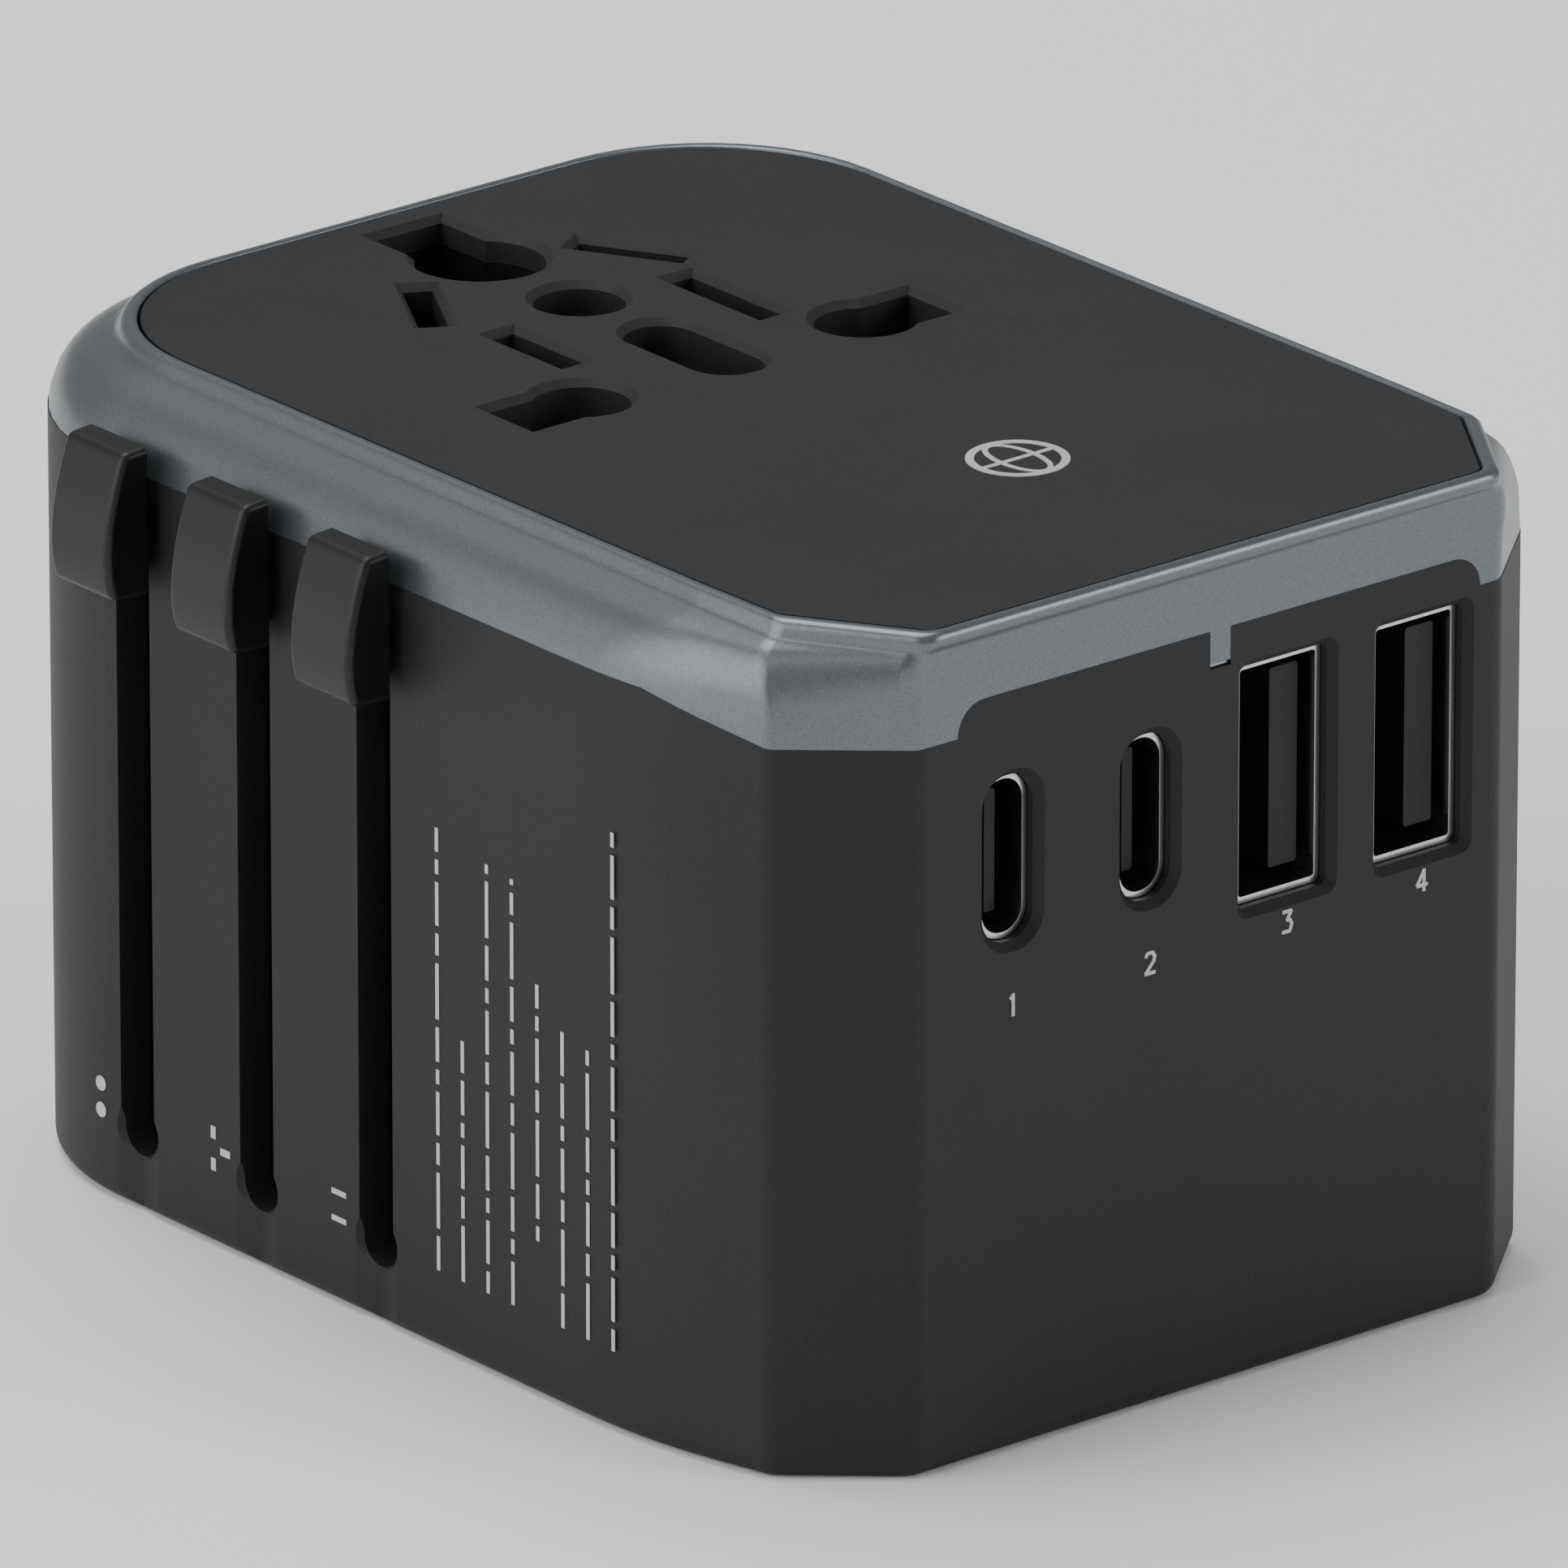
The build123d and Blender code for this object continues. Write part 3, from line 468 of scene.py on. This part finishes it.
class ADAPTER_OT_frame(bpy.types.Operator):
    """Model the metallic frame around the socket panel"""

    bl_idname = "adapter.frame"
    bl_label = "Frame"

    def execute(self, context):
        body = context.scene.adapter_body
        mesh_data = bmesh.new()
        rings = []
        for level, (height, half, front, mix) in enumerate(FRAME_LEVELS):
            plan = frame_ring(half, front, mix, body.corner_points)
            last = level == len(FRAME_LEVELS) - 1
            ring = []
            for point in plan:
                z = self.parting(body, point.y * MM) if last else height * MM
                ring.append(mesh_data.verts.new((point.x * MM, point.y * MM, z)))
            rings.append(ring)
        inward = (0.93, 0.95)
        inner = [
            mesh_data.verts.new((v.co.x * inward[0], v.co.y * inward[1], v.co.z)) for v in rings[-1]
        ]
        rings.append(inner)
        for upper, lower in zip(rings, rings[1:]):
            for i in range(len(upper)):
                j = (i + 1) % len(upper)
                mesh_data.faces.new((upper[i], upper[j], lower[j], lower[i]))
        obj = to_object("metal_frame", mesh_data, "frame_metal", "case")
        smooth_by_angle(obj.data, 55)
        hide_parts("top_frame")
        return {"FINISHED"}

    @staticmethod
    def parting(body, y):
        """Height of the frame's lower edge at one place along Y."""
        cut = body.front + CUT[0][1] * MM
        knee = cut + TAPER[0][1] * MM
        share = min(max((knee - y) / (knee - cut), 0.0), 1.0)
        return blend(body.parting, body.parting_front, share)


# ---- knobs -----------------------------------------------------------------------------
class ADAPTER_OT_knobs(bpy.types.Operator):
    """Model the three slider knobs"""

    bl_idname = "adapter.knobs"
    bl_label = "Knobs"

    def execute(self, context):
        knob = context.scene.adapter_knob
        for name in ("eu", "uk", "us"):
            low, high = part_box(f"{name}_knob")
            middle = (low[1] + high[1]) / 2
            self.knob(name, knob, middle)
        return {"FINISHED"}

    def knob(self, name, knob, middle):
        """One knob: side profile pushed across its width, edges rounded."""
        steps = 12
        top = Vector((knob.back - 1.45 * MM, knob.high - 0.1 * MM))
        foot = Vector((knob.face + 0.5 * MM, knob.low + 0.1 * MM))
        bulge = Vector((knob.face - 0.62 * MM, knob.low + 3.0 * MM))
        profile = [(knob.back, knob.low), (knob.back, knob.high), tuple(top)]
        for i in range(1, steps + 1):
            t = i / steps
            point = top * (1 - t) ** 2 + bulge * 2 * t * (1 - t) + foot * t * t
            profile.append((max(point.x, knob.face + 0.01 * MM), point.y))
        mesh_data = bmesh.new()
        side = [mesh_data.verts.new((x, middle - knob.width / 2, z)) for x, z in profile]
        face = mesh_data.faces.new(side)
        grown = bmesh.ops.extrude_face_region(mesh_data, geom=[face])
        moved = [v for v in grown["geom"] if isinstance(v, bmesh.types.BMVert)]
        bmesh.ops.translate(mesh_data, verts=moved, vec=(0, knob.width, 0))
        sharp = []
        for edge in mesh_data.edges:
            centre = (edge.verts[0].co + edge.verts[1].co) / 2
            flat_side = abs(abs(centre.y - middle) - knob.width / 2) < 1e-6
            if flat_side and centre.x < knob.back - 1e-5:
                sharp.append(edge)
            elif abs(centre.y - middle) < 1e-6 and centre.x < knob.back - 1e-5:
                if edge.calc_face_angle(0) > math.radians(20):
                    sharp.append(edge)
        bmesh.ops.bevel(
            mesh_data,
            geom=sharp,
            offset=knob.rounding,
            offset_type="OFFSET",
            segments=5,
            profile=0.5,
            affect="EDGES",
            clamp_overlap=True,
            material=-1,
        )
        obj = to_object(f"{name}_thumb_knob", mesh_data, "knob_plastic", f"{name}_slider")
        smooth_by_angle(obj.data, 40)
        even_normals(obj)
        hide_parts(f"{name}_knob")


# ---- printed signs ---------------------------------------------------------------------
class Sheet:
    """Flat drawing plane for ink: u and v directions, and the way the film stands out."""

    def __init__(self, name, origin, u, v, film):
        self.name = name
        self.origin = Vector(origin)
        self.u = Vector(u)
        self.v = Vector(v)
        self.out = self.u.cross(self.v) * film
        self.count = 0
        self.mesh_data = bmesh.new()

    def place(self, u, v):
        return self.origin + (self.u * u + self.v * v) * MM

    def polygon(self, points):
        """Filled shape given in mm, raised by the film height."""
        verts = [self.mesh_data.verts.new(self.place(u, v)) for u, v in points]
        face = self.mesh_data.faces.new(verts)
        grown = bmesh.ops.extrude_face_region(self.mesh_data, geom=[face])
        moved = [v for v in grown["geom"] if isinstance(v, bmesh.types.BMVert)]
        bmesh.ops.translate(self.mesh_data, verts=moved, vec=self.layer())

    def layer(self):
        """Film height of the next stroke, a hair above the last one where they cross."""
        self.count += 1
        return self.out * (1 + 0.05 * (self.count % 8))

    def bar(self, u0, v0, u1, v1):
        self.polygon([(u0, v0), (u1, v0), (u1, v1), (u0, v1)])

    def disc(self, u, v, radius, count=24):
        turn = 2 * math.pi / count
        angles = [turn * i for i in range(count)]
        self.polygon([(u + radius * math.cos(a), v + radius * math.sin(a)) for a in angles])

    def line(self, a, b, width):
        """Straight stroke between two points."""
        start = Vector(a)
        end = Vector(b)
        along = (end - start).normalized()
        side = Vector((-along.y, along.x)) * width / 2
        corners = [start - side, end - side, end + side, start + side]
        self.polygon([tuple(c) for c in corners])

    def ellipse(self, u, v, ru, rv, width, count=48):
        """Closed stroke of even width, as a ring of quads."""
        film = self.layer()
        rows = []
        for grow in (-width / 2, width / 2):
            ring = []
            for i in range(count):
                angle = 2 * math.pi * i / count
                ring.append((u + (ru + grow) * math.cos(angle), v + (rv + grow) * math.sin(angle)))
            rows.append(ring)
        low = [[self.mesh_data.verts.new(self.place(*p)) for p in ring] for ring in rows]
        high = [[self.mesh_data.verts.new(self.place(*p) + film) for p in ring] for ring in rows]
        for a, b in ((low[0], high[0]), (high[0], high[1]), (high[1], low[1]), (low[1], low[0])):
            for i in range(count):
                j = (i + 1) % count
                self.mesh_data.faces.new((a[i], a[j], b[j], b[i]))

    def done(self):
        return to_object(self.name, self.mesh_data, "ink", "case")


DIGIT_STROKES = {
    "1": (((-0.28, 0.55), (0.05, 0.9)), ((0.05, 1.0), (0.05, -1.0))),
    "2": (
        ((-0.5, 0.55), (-0.3, 0.92)),
        ((-0.38, 0.9), (0.32, 0.9)),
        ((0.26, 0.92), (0.5, 0.5)),
        ((0.5, 0.6), (0.4, 0.12)),
        ((0.46, 0.2), (-0.52, -0.88)),
        ((-0.6, -0.88), (0.58, -0.88)),
    ),
    "3": (
        ((-0.5, 0.9), (0.5, 0.9)),
        ((0.5, 0.96), (0.0, 0.16)),
        ((-0.1, 0.16), (0.3, 0.14)),
        ((0.26, 0.18), (0.52, -0.3)),
        ((0.52, -0.2), (0.34, -0.82)),
        ((0.4, -0.88), (-0.54, -0.88)),
    ),
    "4": (((0.2, 1.0), (0.2, -1.0)), ((0.24, 0.98), (-0.6, -0.42)), ((-0.62, -0.42), (0.6, -0.42))),
}


SIGN_OFFSET = 3.1 * MM      # from a slot's centre line to its sign
SIGN_HEIGHT = 5.6 * MM
# rating lines in mm: shift up from the foot line, and length
RATING_ROWS = (
    (0, 24.6), (0, 13.4), (0, 23.8), (0, 23.6), (4.2, 14.2), (0, 16.4), (0, 16.0), (0, 29.0),
)
RATING_START = 6.2
RATING_PITCH = 2.05
RATING_FOOT = 4.6
RATING_HALF_STROKE = 0.13
WORD_LENGTHS = (1.9, 3.1, 1.2, 2.4, 0.8)
WORD_GAP = 0.45
GLOBE_X = 0.0011
GLOBE_Y = -0.0186
GLOBE_STROKE = 0.46


class ADAPTER_OT_markings(bpy.types.Operator):
    """Print the port numbers, slider signs, rating lines and panel sign"""

    bl_idname = "adapter.markings"
    bl_label = "Markings"

    def execute(self, context):
        ink = context.scene.adapter_print
        self.ports(ink, context.scene.adapter_body)
        self.sliders(ink)
        self.ratings(ink)
        self.panel(ink)
        return {"FINISHED"}

    def ports(self, ink, body):
        """A plain number under each USB port."""
        names = ("usb_c1_shell", "usb_c2_shell", "usb_a1_shell", "usb_a2_shell")
        for digit, name in enumerate(names, 1):
            low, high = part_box(name)
            origin = ((low[0] + high[0]) / 2, body.front, ink.port_height)
            sheet = Sheet(f"port_number_{digit}", origin, (1, 0, 0), (0, 0, 1), ink.film)
            for a, b in DIGIT_STROKES[str(digit)]:
                sheet.line(Vector(a) * ink.digit_scale, Vector(b) * ink.digit_scale, ink.stroke / MM)
            sheet.done()

    def sliders(self, ink):
        """A small pin-pattern sign beside the foot of each slot."""
        for name, draw in (("eu", self.two_round), ("uk", self.three_square), ("us", self.two_flat)):
            low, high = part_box(f"{name}_knob")
            y = (low[1] + high[1]) / 2 + SIGN_OFFSET
            origin = (ink.side, y, SIGN_HEIGHT)
            sheet = Sheet(f"{name}_pin_sign", origin, (0, -1, 0), (0, 0, 1), ink.film)
            draw(sheet)
            sheet.done()

    @staticmethod
    def two_round(sheet):
        sheet.disc(0, 0.75, 0.42)
        sheet.disc(0, -0.75, 0.42)

    @staticmethod
    def three_square(sheet):
        sheet.bar(-0.75, 0.55, -0.35, 1.25)
        sheet.bar(-0.75, -1.25, -0.35, -0.55)
        sheet.bar(0.05, -0.2, 0.85, 0.2)

    @staticmethod
    def two_flat(sheet):
        sheet.bar(-0.6, 0.6, 0.6, 0.9)
        sheet.bar(-0.6, -0.9, 0.6, -0.6)

    def ratings(self, ink):
        """Rows of short dashes running up the slider face."""
        sheet = Sheet("rating_lines", (ink.side, 0, 0), (0, -1, 0), (0, 0, 1), ink.film)
        for row, (shift, length) in enumerate(RATING_ROWS):
            y = RATING_START + row * RATING_PITCH
            z = RATING_FOOT + shift
            end = z + length
            word = 0
            while z < end:
                size = WORD_LENGTHS[(row + word) % len(WORD_LENGTHS)]
                stop = min(z + size, end)
                sheet.bar(y - RATING_HALF_STROKE, z, y + RATING_HALF_STROKE, stop)
                z = stop + WORD_GAP
                word += 1
        sheet.done()

    def panel(self, ink):
        """Plain globe near the USB end of the panel."""
        low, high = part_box("socket_panel")
        sheet = Sheet("globe_sign", (GLOBE_X, GLOBE_Y, high[2]), (1, 0, 0), (0, 1, 0), ink.film)
        thin = GLOBE_STROKE * 0.7
        sheet.ellipse(0, 0, 2.5, 2.5, GLOBE_STROKE)
        sheet.ellipse(0, 0, 1.1, 2.3, thin)
        sheet.line((-2.3, 0), (2.3, 0), thin)
        sheet.done()


# ---- finishes --------------------------------------------------------------------------
SOFT_EDGES = {
    "lower_housing": 0.12,
    "plug_plate": 0.15,
    "socket_panel": 0.06,
    "safety_shutter": 0.15,
    "eu_carrier": 0.2,
    "uk_carrier": 0.2,
    "us_carrier": 0.2,
    "usb_a1_shell": 0.08,
    "usb_a2_shell": 0.08,
    "usb_a1_tongue": 0.12,
    "usb_a2_tongue": 0.12,
    "led_window": 0.08,
    "us_blade_left": 0.1,
    "us_blade_right": 0.1,
    "uk_live_pins": 0.15,
    "uk_earth_pin": 0.15,
    "fuse_cap": 0.12,
    "transformer_core": 0.4,
}


class ADAPTER_OT_finishes(bpy.types.Operator):
    """Give every frame piece its material and softened edges"""

    bl_idname = "adapter.finishes"
    bl_label = "Finishes"

    def execute(self, context):
        slots = {p["node"]: p["material_slot"] for p in FRAME["record"]["subparts"]}
        for name, obj in FRAME["nodes"].items():
            obj.data.materials.clear()
            obj.data.materials.append(finish_named(slots[name]))
            if name in SOFT_EDGES:
                bevel = obj.modifiers.new("Soft edges", "BEVEL")
                bevel.width = SOFT_EDGES[name] * MM
                bevel.segments = 2
                bevel.limit_method = "ANGLE"
                bevel.angle_limit = math.radians(38)
                bevel.harden_normals = True
        return {"FINISHED"}


# ---- stage -----------------------------------------------------------------------------
LAMPS = (       # name, place and size in metres, power in watts
    ("side", (-1.1, 0.25, 0.5), 1.3, 13.0),
    ("front", (0.75, -1.0, 0.4), 0.6, 6.0),
    ("top", (0.0, 0.35, 1.3), 0.9, 12.0),
)
LAMP_TARGET = Vector((0, 0, 0.023))
VIEW_MIDDLE = Vector((-0.45, -1.52, 23.63)) * MM


class ADAPTER_OT_stage(bpy.types.Operator):
    """Set up floor, soft light and camera"""

    bl_idname = "adapter.stage"
    bl_label = "Stage"

    def execute(self, context):
        scene = context.scene
        mesh_data = bmesh.new()
        bmesh.ops.create_grid(mesh_data, x_segments=1, y_segments=1, size=3.0)
        mesh = bpy.data.meshes.new("floor")
        mesh_data.to_mesh(mesh)
        mesh_data.free()
        floor = bpy.data.objects.new("floor", mesh)
        scene.collection.objects.link(floor)
        material, tree, output, coords = new_material("Pale paper")
        tooth = grain_height(tree, coords, 0.5)
        height = add_node(
            tree,
            "ShaderNodeBump",
            {"Strength": 0.05, "Distance": 0.05 * MM},
            {"Height": tooth.outputs["Fac"]},
        )
        shader = add_node(
            tree,
            "ShaderNodeBsdfPrincipled",
            {"Base Color": linear("#fbfbfb"), "Roughness": 0.9, "Specular IOR Level": 0.2},
            {"Normal": height.outputs["Normal"]},
        )
        tree.links.new(shader.outputs[0], output.inputs["Surface"])
        mesh.materials.append(material)
        self.sky(scene)
        for name, place, size, power in LAMPS:
            self.lamp(name, place, size, power)
        self.camera(scene)
        return {"FINISHED"}

    @staticmethod
    def sky(scene):
        """Even white surroundings."""
        world = bpy.data.worlds.new("Surroundings")
        world.use_nodes = True
        background = world.node_tree.nodes["Background"]
        background.inputs["Color"].default_value = linear("#ffffff")
        background.inputs["Strength"].default_value = 0.32
        scene.world = world

    @staticmethod
    def lamp(name, place, size, power):
        """Square soft box aimed at the object."""
        data = bpy.data.lights.new(name, "AREA")
        data.size = size
        data.energy = power
        obj = bpy.data.objects.new(name, data)
        bpy.context.scene.collection.objects.link(obj)
        obj.location = place
        aim = LAMP_TARGET - Vector(place)
        obj.rotation_euler = aim.to_track_quat("-Z", "Y").to_euler()

    @staticmethod
    def camera(scene):
        """Long lens looking at the middle of the body."""
        view = scene.adapter_view
        back = Vector((
            math.sin(view.azimuth) * math.cos(view.elevation),
            -math.cos(view.azimuth) * math.cos(view.elevation),
            math.sin(view.elevation),
        ))
        data = bpy.data.cameras.new("view")
        data.lens = view.lens
        data.sensor_width = 36.0
        data.dof.use_dof = False
        data.clip_start = 0.01
        camera = bpy.data.objects.new("view", data)
        scene.collection.objects.link(camera)
        camera.location = VIEW_MIDDLE + back * view.distance
        camera.rotation_euler = (-back).to_track_quat("-Z", "Y").to_euler()
        scene.camera = camera


class ADAPTER_PT_panel(bpy.types.Panel):
    """Sidebar panel with the adapter's sizes and steps"""

    bl_idname = "ADAPTER_PT_panel"
    bl_label = "Travel adapter"
    bl_space_type = "VIEW_3D"
    bl_region_type = "UI"
    bl_category = "Adapter"

    def draw(self, context):
        for group in GROUPS:
            box = self.layout.box()
            settings = getattr(context.scene, group)
            for prop in settings.bl_rna.properties:
                if prop.identifier not in {"rna_type", "name"}:
                    box.prop(settings, prop.identifier)
        for step in STEPS:
            self.layout.operator(step.bl_idname)


STEPS = (ADAPTER_OT_finishes, ADAPTER_OT_frame, ADAPTER_OT_knobs, ADAPTER_OT_markings, ADAPTER_OT_stage)
CLASSES = tuple(GROUPS.values()) + STEPS + (ADAPTER_PT_panel,)


def register():
    for cls in CLASSES:
        bpy.utils.register_class(cls)
    for name, cls in GROUPS.items():
        setattr(bpy.types.Scene, name, bpy.props.PointerProperty(type=cls))


def unregister():
    for name in GROUPS:
        delattr(bpy.types.Scene, name)
    for cls in reversed(CLASSES):
        bpy.utils.unregister_class(cls)


def run(step):
    """Calls one operator by its idname."""
    group, name = step.bl_idname.split(".")
    getattr(getattr(bpy.ops, group), name)()


def main():
    register()
    for step in STEPS:
        run(step)


if __name__ == "__main__":
    main()
